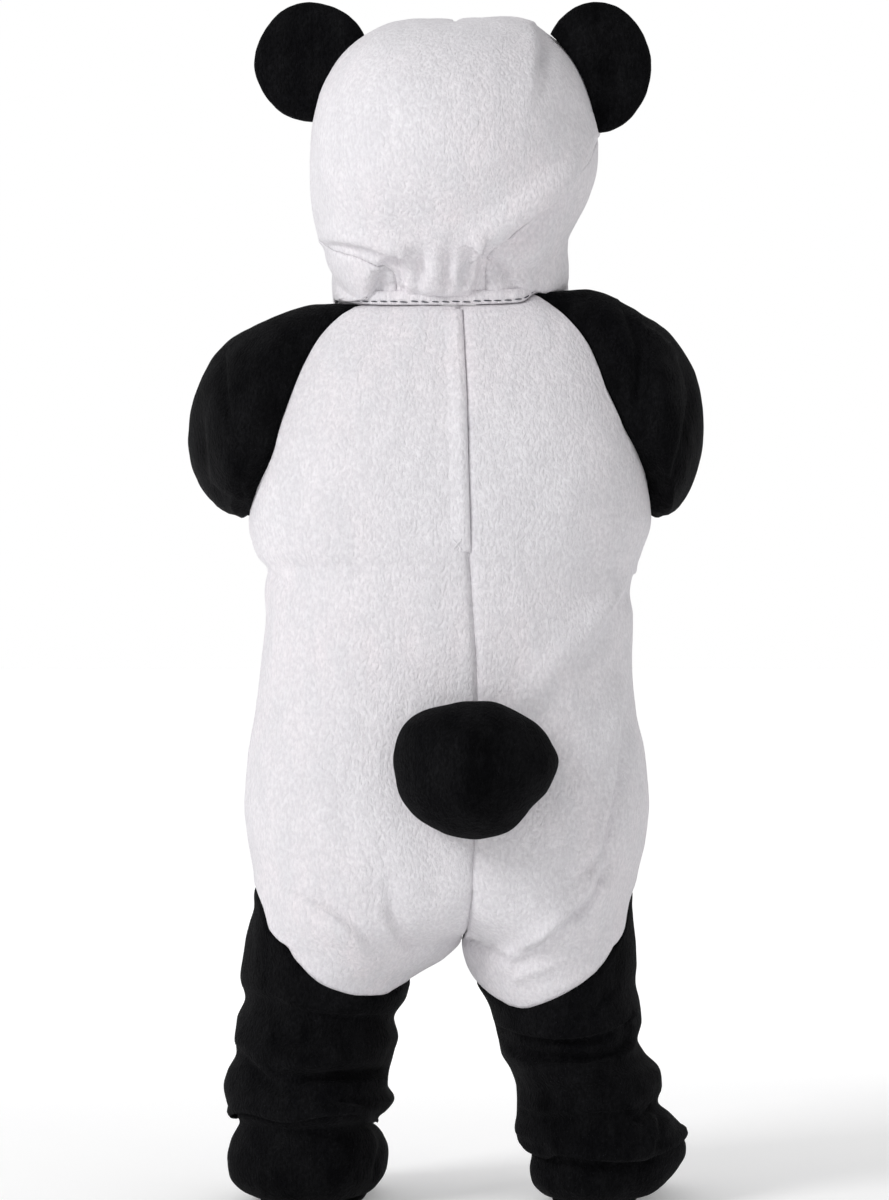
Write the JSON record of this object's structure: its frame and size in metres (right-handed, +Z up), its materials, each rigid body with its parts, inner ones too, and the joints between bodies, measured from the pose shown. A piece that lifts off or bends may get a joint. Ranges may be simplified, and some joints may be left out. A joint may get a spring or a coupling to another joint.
{
  "type": "panda costume",
  "caption": "Toddler's hooded plush jumpsuit with round ears, a stuffed tail, raglan sleeves and closed feet, worn and hollow, open at the cuffs and face.",
  "frame": {"origin": "centre-back of the neckline, at the top of the centre-back closing edge, halfway through the body's depth", "axes": "+Z up through the hood, +X to the side that is on the right when seen from behind, +Y to the front of the garment"},
  "size_m": [0.339, 0.264, 0.7788],
  "materials": {
    "white_plush": "short-pile plush, matt with a soft sheen",
    "black_plush": "short-pile plush, matt with a soft sheen"
  },
  "bodies": {
    "root": {"back_left": "white_plush", "back_right": "white_plush", "front_left": "white_plush", "front_right": "white_plush", "hood_crown": "white_plush", "hood_left": "white_plush", "hood_right": "white_plush", "neckband": "white_plush", "placket": "white_plush", "sleeve_left": "black_plush", "sleeve_right": "black_plush", "leg_left": "black_plush", "leg_right": "black_plush", "foot_left": "black_plush", "foot_right": "black_plush", "sole_left": "black_plush", "sole_right": "black_plush", "ear_left": "black_plush", "ear_right": "black_plush", "tail": "black_plush"}
  },
  "joints": []
}
